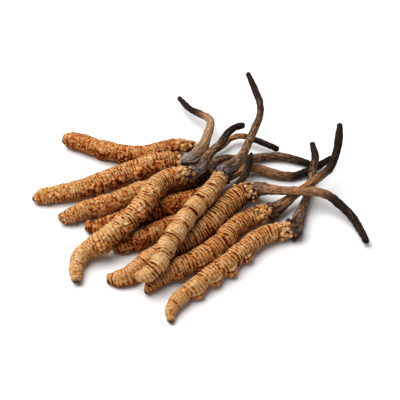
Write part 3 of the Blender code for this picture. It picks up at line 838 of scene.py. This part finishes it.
def dented_beads(tree, balls):
    """Each ball dented by noise, some with a pit at the top, and none below the surface."""
    here = out(tree, "GeometryNodeInputPosition")
    facing = out(tree, "GeometryNodeInputNormal")
    hollow = stored(tree, "top").ramp(0.72, 0.98) * stored(tree, "pit")
    spot = here.over(MM)
    dents = noise(tree, spot, 0.8) * 0.25 + noise(tree, spot, 2.2) * 0.14 - hollow * 0.35
    offset = facing.vector("SCALE", scale=dents * MM)
    dented = out(tree, "GeometryNodeSetPosition", {"Geometry": balls, "Offset": offset})
    # Painted light and shade: each bead lighter on top and darker towards its base.
    lit = stored(tree, "light") + (stored(tree, "top").ramp(0.1, 0.85) - 0.6) * 0.75
    marked = keep(tree, dented, pit=hollow, light=lit)
    above = here.vector("MAXIMUM", LOWEST_PLACE)
    return out(tree, "GeometryNodeSetPosition", {"Geometry": marked, "Position": above})


balls = scattered_balls(larva_tree, larva_skin, larva_to_head, larva_in["Bead Reach"], larva_in["Seed"])
larva_beads = dented_beads(larva_tree, balls)

# %% Close the larva tree
both = larva_tree.nodes.new("GeometryNodeJoinGeometry")
plug(larva_tree, both.inputs[0], larva_beads)
plug(larva_tree, both.inputs[0], larva_skin)
finish_tree(larva_tree, Field(larva_tree, both.outputs[0]), larva_in["Material"])
print("larva nodes:", len(larva_tree.nodes))

# %% [markdown]
# ## The stalk
#
# A dried stalk is a thin twig with wrinkles and cracks running along it, and tiny pimples between them.
# Its fibrous foot flares over the head of the larva in a lumpy collar with a ragged edge, and its tip is
# rounded.
#
# The inputs for its colours are numbers as well: how warm or pale the middle is, where along the stalk
# it turns dark, from Dark From to Dark To as shares of the length, how grey or sooty the foot is, and
# whether the tip is broken and pale.

# %% Stalk tree: its named inputs
STALK_NUMBERS = {
    # The mesh
    "Rows": 200,
    "Columns": 48,
    "Length": 40.0,
    "Seed": 0,
    # Skin
    "Wrinkle": 0.12,
    "Pimples": 0.1,
    # Foot
    "Foot": 0.35,
    "Collar": 0.3,
    "Collar Width": 1.3,
    "Ragged": 0.5,
    # Colours
    "Warmth": 0.5,
    "Pale": 0.0,
    "Dark From": 0.35,
    "Dark To": 0.85,
    "Grey Foot": 1.0,
    "Dark Foot": 0.0,
    "Pale End": 0.0,
}

stalk_tree, stalk_in = new_tree("stalk skin", STALK_NUMBERS)
stalk = sweep(stalk_tree, stalk_in)
print("stalk inputs:", len(STALK_NUMBERS))

# %% [markdown]
# The wrinkles are noise that is stretched many times along the stalk: it is read on a circle, so it
# closes all round, while the distance along counts little. The cracks follow the lines where the same
# noise is zero, and it frays the edge of the foot as well.

# %% Stalk tree: wrinkles, cracks, pimples and collar
COLLAR_AT = 1.1
COLLAR_LUMP_WIDTH = 1.2
TIP_ROUNDING = 0.8
FOOT_EDGE = 0.9


def stalk_relief(tree, given, tube):
    """How far the stalk stands out from its centre line, its streaks with painted shade underneath, and how
    high its pimples are.
    """
    along, radius, place = tube["along"], tube["radius"], tube["skin"]
    turned = tube["angle"] + along * 0.04
    cosine, sine = turned.math("COSINE"), turned.math("SINE")
    circle_x = cosine + given["Seed"] * 7.7
    coarse = noise(tree, combine(tree, circle_x, sine, along * 0.07), 1.5)
    medium = noise(tree, combine(tree, circle_x, sine, along * 0.05), 3.4)
    fine = noise(tree, combine(tree, circle_x, sine, along * 0.045), 7.0, 2.0)
    knobs = noise(tree, place, 0.35)
    unrolled_x = cosine * radius + given["Seed"] * 5.3
    unrolled_y = sine * radius
    pimple_place = combine(tree, unrolled_x * 2.0, unrolled_y * 2.0, along * 0.75)
    pimples = (domes(tree, pimple_place, 0.9)[0] - 0.6) * given["Pimples"]

    foot = along.ramp(0.0, 6.5, 1.0, 0.0)
    relief = coarse * (given["Wrinkle"] + foot * given["Foot"])
    relief = relief + medium * (given["Wrinkle"] * 1.1 + foot * 0.3)
    relief = relief + fine * (foot * 0.1 + 0.06) + knobs * 0.08 + pimples
    crack = medium.size().ramp(0.0, 0.22, 1.0, 0.0) * coarse.ramp(-0.5, 0.3, 0.3, 1.0)
    relief = relief - crack * (given["Wrinkle"] * 0.9 + foot * 0.2)
    collar = ((along - COLLAR_AT + coarse * 0.7).size() / given["Collar Width"]).ramp(0.15, 1.0, 1.0, 0.0)
    lumps = domes(tree, place.over(COLLAR_LUMP_WIDTH), 0.9)[0]
    relief = relief + collar * (given["Collar"] + (lumps - 0.5) * 0.5)

    fibres = along + (coarse * 1.6 + medium * 1.4) * given["Ragged"]
    tip = round_end(given["Length"] - along, TIP_ROUNDING)
    distance = (radius + relief) * tip * round_end(fibres, FOOT_EDGE)
    speckle = noise(tree, combine(tree, unrolled_x, unrolled_y, along * 0.35), 2.4, 2.0)
    streak = (medium * 0.8 + fine * 1.1) * (foot * 1.6 + 1.0) + coarse * 0.2 - crack * 0.7
    streak = streak + speckle * 1.3 * (1.0 - foot * 0.6) + 0.08
    # Painted shade: the underside of the stalk is darker.
    streak = streak - cosine.ramp(-0.6, 0.5, 0.0, 0.35)
    return distance, streak, pimples * 6.0


stalk_distance, stalk_streak, stalk_pimples = stalk_relief(stalk_tree, stalk_in, stalk)
stalk_skin = keep(
    stalk_tree, stand_out(stalk_tree, stalk, stalk_distance),
    streak=stalk_streak, pimple=stalk_pimples, from_foot=stalk["along"],
    part_way=stalk["along"] / stalk_in["Length"], warmth=stalk_in["Warmth"], pale=stalk_in["Pale"],
    grey_foot=stalk_in["Grey Foot"], dark_from=stalk_in["Dark From"], dark_to=stalk_in["Dark To"],
    to_end=stalk_in["Length"] - stalk["along"], pale_end=stalk_in["Pale End"],
    dark_foot=stalk_in["Dark Foot"],
)
finish_tree(stalk_tree, stalk_skin, stalk_in["Material"])
print("stalk skin nodes:", len(stalk_tree.nodes))

# %% [markdown]
# ## What the materials share
#
# Mottled patches and fine grit show on larva and stalk alike. Each is a shader node group with named
# inputs, built once. A group only puts out colours and values. The shader itself stays in each
# material, where its constant values are set on its own sockets.

# %% Shader groups
COLOUR = "NodeSocketColor"
NUMBER = "NodeSocketFloat"


def shader_group(name, inputs, outputs):
    """An empty shader group with its sockets: (kind, default) by name."""
    group = bpy.data.node_groups.new(name, "ShaderNodeTree")
    for label, (kind, value) in inputs.items():
        socket = group.interface.new_socket(label, in_out="INPUT", socket_type=kind)
        socket.default_value = value
    for label, kind in outputs.items():
        group.interface.new_socket(label, in_out="OUTPUT", socket_type=kind)
    entry = group.nodes.new("NodeGroupInput")
    leave = group.nodes.new("NodeGroupOutput")
    return group, {socket.name: Field(group, socket) for socket in entry.outputs if socket.name}, leave


def blend_colours(tree, amount, first, second, mode="MIX"):
    """One colour laid over another by a mask."""
    inputs = {0: amount, 6: first, 7: second}
    return out(tree, "ShaderNodeMix", inputs, 2, data_type="RGBA", blend_type=mode)


def place_in_mm(tree):
    """The object's own coordinates in millimetres."""
    return out(tree, "ShaderNodeTexCoord", which="Object").over(MM)


mottle_group, given, leave = shader_group(
    "mottled patches",
    {"Colour": (COLOUR, (0.5, 0.5, 0.5, 1)), "Patch Colour": (COLOUR, (0.3, 0.3, 0.3, 1)),
     "Amount": (NUMBER, 0.5), "Patches per mm": (NUMBER, 0.5)},
    {"Colour": COLOUR},
)
patch = noise(mottle_group, place_in_mm(mottle_group), given["Patches per mm"], 3.0).ramp(-0.25, 0.4)
mottled = blend_colours(mottle_group, patch * given["Amount"], given["Colour"], given["Patch Colour"])
plug(mottle_group, leave.inputs["Colour"], mottled)

grit_group, given, leave = shader_group(
    "fine grit", {"Grains per mm": (NUMBER, 5.0)}, {"Height": NUMBER}
)
grit = noise(grit_group, place_in_mm(grit_group), given["Grains per mm"], 3.0)
plug(grit_group, leave.inputs["Height"], grit)
print("shader groups:", mottle_group.name, "and", grit_group.name)

# %% [markdown]
# Both skins start from the same shader and end the same way: mottled, with painted shade that deepens
# the colour where the surface turns away from the view, and with grit as a bump. A value that a geometry
# tree stored is read back by its name. The painted rim shade follows the camera, so it moves with the view
# and a baked copy of the model loses it.

# %% Helpers for materials
GRIT_DEPTH = 0.07


def read(tree, name):
    """A value that the geometry tree stored on the points."""
    return out(tree, "ShaderNodeAttribute", which="Fac", attribute_name=name)


def colour_steps(tree, value, steps):
    """A colour for each value from 0 to 1, blended between the steps."""
    node = add(tree, "ShaderNodeValToRGB", {0: value})
    ramp = node.color_ramp
    while len(ramp.elements) < len(steps):
        ramp.elements.new(0.5)
    for element, (place, colour) in zip(ramp.elements, steps):
        element.position = place
        element.color = (*colour, 1)
    return Field(tree, node.outputs["Color"])


def new_material(name, roughness, shine):
    """A material with its node tree and its shader."""
    material = bpy.data.materials.new(name)
    material.use_nodes = True
    shader = material.node_tree.nodes["Principled BSDF"]
    shader.inputs["Roughness"].default_value = roughness
    shader.inputs["Specular IOR Level"].default_value = shine
    return material, material.node_tree, shader


def patchy_colour(tree, colour, patch_colour, amount, per_mm):
    """The colour with mottled patches."""
    inputs = {"Colour": colour, "Patch Colour": patch_colour, "Amount": amount, "Patches per mm": per_mm}
    return out(tree, "ShaderNodeGroup", inputs, "Colour", node_tree=mottle_group)


def gritty(tree, shader):
    """Grit too small for the mesh, as a bump."""
    height = out(tree, "ShaderNodeGroup", {"Grains per mm": 5.0}, "Height", node_tree=grit_group)
    inputs = {"Strength": 0.5, "Distance": GRIT_DEPTH * MM, "Height": height}
    plug(tree, shader.inputs["Normal"], out(tree, "ShaderNodeBump", inputs))


def painted_rim_shade(tree, colour, amount, shade):
    """Painted shade: the colour deepened where the surface turns away from the view. A baked copy loses
    this.
    """
    facing = out(tree, "ShaderNodeLayerWeight", {"Blend": 0.5}, "Facing")
    return blend_colours(tree, facing.ramp(0.45, 1.0, 0.0, amount), colour, shade)


# %% [markdown]
# ## The larva's finish
#
# The skin is golden on the crests, tawny in between and dark red-brown in the creases, partly its own
# colour and partly painted light and shade. The relief tree left a lightness on every point, so the colour
# sits exactly on the rings, whatever way they wander.
# The skin is matt: a strong reflection would lay white over the dark creases and turn them grey.

# %% Larva material
SKIN_STEPS = [
    (0.0, (0.030, 0.003, 0.0002)),
    (0.22, (0.145, 0.018, 0.0005)),
    (0.45, (0.36, 0.123, 0.028)),
    (0.67, (0.445, 0.233, 0.083)),
    (0.88, (0.465, 0.282, 0.120)),
    (1.0, (0.54, 0.405, 0.23)),
]
MOTTLE = (0.26, 0.10, 0.028, 1)
LEG_TINT = (1.0, 0.70, 0.62, 1)
BEAD_AMBER = (0.66, 0.30, 0.09, 1)
HEAD_STAIN_AND_SHADE = (0.035, 0.013, 0.005, 1)
PIT_SHADE = (0.10, 0.035, 0.010, 1)
TAIL_BUTTON = (0.045, 0.018, 0.008, 1)
LARVA_RIM_SHADE = (0.07, 0.020, 0.004, 1)

larva_material, tree, shader = new_material("dried_larva_skin", 0.6, 0.08)
light = read(tree, "light") + 0.58 + (read(tree, "tone") - 0.5) * 0.4
light = light + noise(tree, place_in_mm(tree), 2.4, 2.0) * 0.16
colour = patchy_colour(tree, colour_steps(tree, light, SKIN_STEPS), MOTTLE, 0.12, 0.4)
bead = read(tree, "bead")
colour = blend_colours(tree, read(tree, "leg") * 0.2, colour, LEG_TINT, "MULTIPLY")
colour = blend_colours(tree, bead * 0.45, colour, BEAD_AMBER)
# Stain and painted shade at the head: dark tissue round it, and shade where the head lies under others.
stain_and_shade = (read(tree, "to_head") / read(tree, "dark_head")).ramp(0.3, 1.0, 0.95, 0.0) * (1.0 - bead)
colour = blend_colours(tree, stain_and_shade * light.ramp(0.5, 0.9, 1.0, 0.55), colour, HEAD_STAIN_AND_SHADE)
# Painted shade in the pits of the beads.
colour = blend_colours(tree, read(tree, "pit") * 0.85, colour, PIT_SHADE)
colour = blend_colours(tree, read(tree, "from_tail").ramp(0.25, 1.2, 0.9, 0.0), colour, TAIL_BUTTON)
# Painted shade at the rim, where the skin turns away from the view.
colour = painted_rim_shade(tree, colour, 0.45, LARVA_RIM_SHADE)
plug(tree, shader.inputs["Base Color"], colour)
plug(tree, shader.inputs["Roughness"], light.ramp(0.4, 0.9, 0.95, 0.42))
gritty(tree, shader)
print("larva material nodes:", len(tree.nodes))

# %% [markdown]
# ## The stalk's finish
#
# A stalk changes along its length: ash grey fibres at the foot, warm brown in the middle and nearly
# black towards the tip. Some feet are sooty instead, each has a dark rim where it meets the head, and a
# few tips are broken off and show pale inside. Light and dark streaks run along the stalk, its underside
# is painted darker as shade, and the tops of the pimples are painted a warmer tan as highlights.

# %% Stalk material: along the stalk
COOL_BROWN = (0.085, 0.044, 0.028, 1)
WARM_BROWN = (0.30, 0.115, 0.042, 1)
PALE_BROWN = (0.36, 0.22, 0.115, 1)
TIP_BLACK = (0.012, 0.007, 0.005, 1)
FOOT_GREY = (0.135, 0.115, 0.115, 1)
SOOT = (0.040, 0.022, 0.014, 1)
FOOT_RIM = (0.045, 0.022, 0.014, 1)

stalk_material, tree, shader = new_material("dried_stalk_skin", 0.65, 0.06)
warmth, pale, streak = read(tree, "warmth"), read(tree, "pale"), read(tree, "streak")
from_foot, dark_from = read(tree, "from_foot"), read(tree, "dark_from")
middle = blend_colours(tree, warmth, COOL_BROWN, WARM_BROWN)
middle = blend_colours(tree, pale, middle, PALE_BROWN)
tip = ((read(tree, "part_way") - dark_from) / (read(tree, "dark_to") - dark_from)).ramp(0.0, 1.0)
colour = blend_colours(tree, tip, middle, TIP_BLACK)
foot = from_foot.ramp(3.0, 12.0, 1.0, 0.0) * read(tree, "grey_foot")
colour = blend_colours(tree, foot * streak.ramp(-0.5, 0.4, 0.55, 1.0), colour, FOOT_GREY)
soot = from_foot.ramp(2.5, 7.0, 0.85, 0.0) * read(tree, "dark_foot")
colour = blend_colours(tree, soot, colour, SOOT)
rim = from_foot.ramp(0.8, 2.2, 0.8, 0.0)
colour = blend_colours(tree, rim, colour, FOOT_RIM)

# %% Stalk material: streaks, pimples and the broken end
FIBRE_GREY = (0.44, 0.36, 0.31, 1)
FIBRE_WARM = (0.52, 0.32, 0.18, 1)
FIBRE_AT_FOOT = (0.46, 0.40, 0.37, 1)
STREAK_BLACK = (0.020, 0.009, 0.004, 1)
PIMPLE_HIGHLIGHT = (0.46, 0.24, 0.11, 1)
STALK_MOTTLE = (0.036, 0.018, 0.010, 1)
STALK_RIM_SHADE = (0.016, 0.007, 0.003, 1)
BROKEN_PALE = (0.30, 0.25, 0.20, 1)

pale_streak = streak.ramp(0.15, 0.65) * (0.65 - foot * 0.25) * (1.0 - tip * 0.85)
pale_streak = pale_streak * (1.0 - soot * 0.8) * (1.0 - rim)
fibre = blend_colours(tree, warmth, FIBRE_GREY, FIBRE_WARM)
fibre = blend_colours(tree, foot, fibre, FIBRE_AT_FOOT)
colour = blend_colours(tree, pale_streak, colour, fibre)
dark_streak = streak.ramp(-0.6, 0.0, 1.0, 0.0) * (foot * 0.6 + 0.75 - pale * 0.45)
colour = blend_colours(tree, dark_streak, colour, STREAK_BLACK)
# Painted highlight: the tops of the pimples in a lighter, warmer tan.
lit = read(tree, "pimple").ramp(0.0, 0.12, 0.0, 0.55) * (1.0 - tip) * (1.0 - foot)
colour = blend_colours(tree, lit, colour, PIMPLE_HIGHLIGHT)
colour = patchy_colour(tree, colour, STALK_MOTTLE, (1.0 - tip) * 0.4, 0.7)
# Painted shade at the rim, where the stalk turns away from the view.
colour = painted_rim_shade(tree, colour, 0.5, STALK_RIM_SHADE)
broken = read(tree, "to_end").ramp(0.1, 0.3, 0.7, 0.0) * read(tree, "pale_end")
plug(tree, shader.inputs["Base Color"], blend_colours(tree, broken, colour, BROKEN_PALE))
gritty(tree, shader)
print("stalk material nodes:", len(tree.nodes))

# %% [markdown]
# ## The looks of the ten specimens
#
# No two larvae have the same skin. The first three are grainy, and those on the right have crisp
# rings. Each lies rolled its own way, so the belly's angle says where its legs show. The tables name
# only what differs from the inputs' own values.

# %% Looks of the larvae, by number
LARVA_LOOKS = {
    "01": {"Ring Step": 0.9, "Ring Depth": 0.07, "Grain": 0.12, "Looseness": 0.95, "Fold Depth": 0.06,
           "Lumps": 0.34, "Belly": 75, "Leg Start": 13.7, "Leg Step": 6.8, "Head Length": 9.0,
           "Bead Reach": 3.5, "Tone and Shade": 0.46},
    "02": {"Ring Step": 0.85, "Ring Depth": 0.15, "Ring Rise": 0.7, "Grain": 0.25, "Looseness": 0.9,
           "Fold Depth": 0.05, "Lumps": 0.25, "Belly": 70, "Leg Start": 18.7, "Leg Step": 6.8,
           "Leg Height": 0.8, "Flank": 0.6, "Flank Shade": 0.14, "Bead Reach": 4.0, "Dark Head": 4.5,
           "Tone and Shade": 0.57},
    "03": {"Ring Step": 0.9, "Ring Depth": 0.08, "Grain": 0.24, "Looseness": 0.9, "Fold Depth": 0.08,
           "Belly": 30, "Leg Start": 13.0, "Leg Height": 0.4, "Flank Shade": 0.2, "Bead Reach": 0.0,
           "Dark Head": 14.0, "Tone and Shade": 0.56},
    "04": {"Ring Depth": 0.26, "Ring Rise": 0.75, "Grain": 0.2, "Looseness": 0.85, "Fold Depth": 0.15,
           "Belly": 74, "Leg Start": 16.5, "Leg Step": 6.8, "Leg Height": 0.8, "Lip": 0.7,
           "Lip Turn": 0.3, "Head Length": 7.0, "Bead Reach": 4.5, "Dark Head": 5.0, "Tone and Shade": 0.7},
    # Larvae 05 and 06 have a low tone as painted shade, for lying under others.
    "05": {"Ring Step": 0.9, "Ring Depth": 0.07, "Grain": 0.17, "Looseness": 0.9, "Lumps": 0.25,
           "Belly": 70, "Leg Start": 13.0, "Leg Step": 6.0, "Flank": 0.4, "Tail Pinch": 0.35,
           "Tone and Shade": 0.22},
    "06": {"Ring Depth": 0.1, "Grain": 0.16, "Looseness": 0.9, "Lumps": 0.2, "Leg Start": 8.0,
           "Leg Step": 5.0, "Leg Height": 0.3, "Flank": 0.2, "Tone and Shade": 0.2},
    "07": {"Ring Step": 0.9, "Ring Depth": 0.32, "Ring Fade": 0.75, "Fold Step": 5.5, "Fold Depth": 0.5,
           "Swell": 0.45, "Lumps": 0.15, "Belly": 0, "Leg Start": 13.0, "Leg Step": 6.2,
           "Leg Height": 0.4, "Head Length": 0.6, "Bead Reach": 0.0, "Dark Head": 0.8,
           "Tail Pinch": 0.3, "Tone and Shade": 0.65},
    "08": {"Ring Depth": 0.32, "Ring Rise": 0.85, "Lumps": 0.25, "Belly": 35, "Leg Height": 0.0,
           "Flank": 0.5, "Flank Shade": 0.45, "Head Length": 4.5, "Bead Reach": 5.5, "Dark Head": 6.0,
           "Tail Pinch": 0.03, "Tone and Shade": 0.3},
    "09": {"Ring Rise": 0.55, "Belly": 34, "Leg Start": 11.5, "Leg Step": 5.9, "Leg Height": 0.7,
           "Lip": 0.6, "Flank Shade": 0.2, "Head Length": 4.5, "Bead Reach": 7.0, "Dark Head": 6.5,
           "Dark Side": -125, "Dark Bias": 0.9, "Tone and Shade": 0.36},
    "10": {"Ring Rise": 0.75, "Grain": 0.16, "Fold Depth": 0.3, "Lumps": 0.28, "Belly": 26,
           "Leg Start": 13.2, "Leg Step": 6.35, "Leg Height": 1.15, "Lip": 1.0, "Lip Turn": -0.07,
           "Head Length": 5.5, "Bead Reach": 6.0, "Dark Head": 7.0, "Tone and Shade": 0.57},
}

# %% Looks of the stalks, by number
STALK_LOOKS = {
    "01": {"Collar": 0.1, "Warmth": 0.8, "Dark From": 0.55, "Dark To": 0.7, "Grey Foot": 0.5,
           "Pale End": 1.0},
    "02": {"Wrinkle": 0.18, "Foot": 0.6, "Collar": 0.45, "Collar Width": 3.0, "Ragged": 1.3,
           "Warmth": 0.6, "Pale": 0.7, "Dark From": 0.6, "Dark To": 0.75},
    "03": {"Collar": 0.1, "Warmth": 0.2, "Dark From": 0.7, "Dark To": 0.95, "Grey Foot": 0.2},
    "04": {"Wrinkle": 0.16, "Foot": 0.5, "Collar": 0.4, "Collar Width": 2.5, "Ragged": 1.0,
           "Warmth": 0.2, "Dark From": 0.4, "Dark To": 0.75, "Dark Foot": 0.2, "Pale End": 1.0},
    "05": {"Pimples": 0.16, "Warmth": 0.9, "Pale": 0.15, "Dark From": 0.5, "Dark To": 0.72,
           "Grey Foot": 0.2},
    "06": {"Wrinkle": 0.2, "Foot": 0.5, "Collar": 0.6, "Collar Width": 3.5, "Ragged": 1.0,
           "Warmth": 0.0, "Dark From": 0.6, "Dark To": 0.9},
    "07": {"Wrinkle": 0.16, "Foot": 0.55, "Collar": 0.5, "Collar Width": 4.0, "Ragged": 1.0,
           "Warmth": 0.25},
    "08": {"Pimples": 0.16, "Collar": 0.25, "Warmth": 1.0, "Pale": 0.35, "Dark From": 0.42,
           "Dark To": 0.62, "Grey Foot": 0.5, "Dark Foot": 0.7},
    "09": {"Pimples": 0.13, "Collar": 0.75, "Collar Width": 2.4, "Warmth": 1.0, "Pale": 0.2,
           "Dark From": 0.42, "Dark To": 0.64, "Grey Foot": 0.2, "Dark Foot": 0.9},
    "10": {"Collar": 1.0, "Collar Width": 2.0, "Warmth": 0.1, "Dark From": 0.6, "Dark To": 0.9,
           "Grey Foot": 0.4, "Dark Foot": 0.8, "Pale End": 1.0},
}

# %% [markdown]
# ## Making the ten specimens
#
# Every larva and every stalk is grown from its tree, and then it takes the place of its solid. The
# number of rows follows the length, so the mesh is as fine on a short piece as on a long one. The
# specimen's number is the seed of its noise.

# %% Grow the larvae and the stalks
# The last value of each kind is the distance between two rows of its mesh, in mm.
KINDS = {
    "larva": (larva_tree, LARVA_NUMBERS, LARVA_LOOKS, larva_material, 0.145),
    "stalk": (stalk_tree, STALK_NUMBERS, STALK_LOOKS, stalk_material, 0.22),
}
triangles = 0
for number, specimen in curves.items():
    for kind, dense in zip(KINDS, specimen):
        tree, numbers, looks, material, row_step = KINDS[kind]
        length = length_of(dense)
        rows = {"Rows": round(length / row_step), "Length": length, "Seed": int(number)}
        values = {**numbers, **looks[number], **rows}
        route = route_mesh(f"{kind}_{number}", dense)
        piece = grow(f"{kind}_skin_{number}", route, tree, values, material)
        triangles += sum(len(face.vertices) - 2 for face in piece.data.polygons)
        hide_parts(f"{kind}_{number}")
        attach(piece, "root")
print("triangles:", triangles)

# %% [markdown]
# ## The studio
#
# The heap lies on a white sweep, which is a turned shape whose rim rises all round, so every view has
# the same backdrop. The light over the heap hardly reaches the rim, so the paper glows a little there,
# which keeps the backdrop pale in low views.

# %% Floor
SWEEP_PROFILE = [(0.0, 0.0), (0.3, 0.0), (0.9, 0.0), (1.3, 0.04), (1.6, 0.16), (1.8, 0.36), (1.9, 0.6)]
SPOKES = 64


def white_sweep():
    """A disc whose rim curves up, turned round the heap. The profile is radius and height in metres."""
    points = []
    faces = []
    for radius, height in SWEEP_PROFILE:
        for spoke in range(SPOKES):
            turn = 2 * math.pi * spoke / SPOKES
            points.append((radius * math.cos(turn), radius * math.sin(turn), height))
    for ring in range(len(SWEEP_PROFILE) - 1):
        for spoke in range(SPOKES):
            following = (spoke + 1) % SPOKES
            low, high = ring * SPOKES, (ring + 1) * SPOKES
            faces.append((low + spoke, high + spoke, high + following, low + following))
    mesh = bpy.data.meshes.new("white_sweep")
    mesh.from_pydata(points, [], faces)
    mesh.polygons.foreach_set("use_smooth", [True] * len(mesh.polygons))
    floor = bpy.data.objects.new("white_sweep", mesh)
    bpy.context.scene.collection.objects.link(floor)
    return floor


floor = white_sweep()
paper, tree, shader = new_material("white_paper", 0.9, 0.1)
shader.inputs["Base Color"].default_value = (0.78, 0.78, 0.78, 1)
from_heap = out(tree, "ShaderNodeTexCoord", which="Object").vector("LENGTH")
glow = blend_colours(tree, from_heap.ramp(0.6, 1.5), (0, 0, 0, 1), (0.5, 0.49, 0.48, 1))
plug(tree, shader.inputs["Emission Color"], glow)
shader.inputs["Emission Strength"].default_value = 1.0
floor.data.materials.append(paper)
print("floor reaches to", SWEEP_PROFILE[-1][0], "m from the heap")

# %% [markdown]
# One large soft light stands behind the heap on the left and throws the short shadows to the lower
# right. A bright, even surround fills them. An area light shines along its own -Z axis, so
# `to_track_quat` turns its +Z axis away from the heap.

# %% Lights
LIGHT_PLACE = (-0.32, 0.20, 0.72)
LIGHT_SIZE = 0.9
LIGHT_POWER = 15.2
SURROUND_COLOUR = (1.0, 0.93, 0.87, 1)
SURROUND_STRENGTH = 0.21

light_data = bpy.data.lights.new("key light", "AREA")
light_data.shape = "SQUARE"
light_data.size = LIGHT_SIZE
light_data.energy = LIGHT_POWER
key_light = bpy.data.objects.new("key light", light_data)
key_light.location = LIGHT_PLACE
key_light.rotation_euler = Vector(LIGHT_PLACE).to_track_quat("Z", "Y").to_euler()
bpy.context.scene.collection.objects.link(key_light)

surround = bpy.data.worlds.new("surround")
surround.use_nodes = True
background = surround.node_tree.nodes["Background"]
background.inputs["Color"].default_value = SURROUND_COLOUR
background.inputs["Strength"].default_value = SURROUND_STRENGTH
bpy.context.scene.world = surround
bpy.context.scene.view_settings.view_transform = "Standard"
print("key light:", LIGHT_POWER, "W from", LIGHT_PLACE)
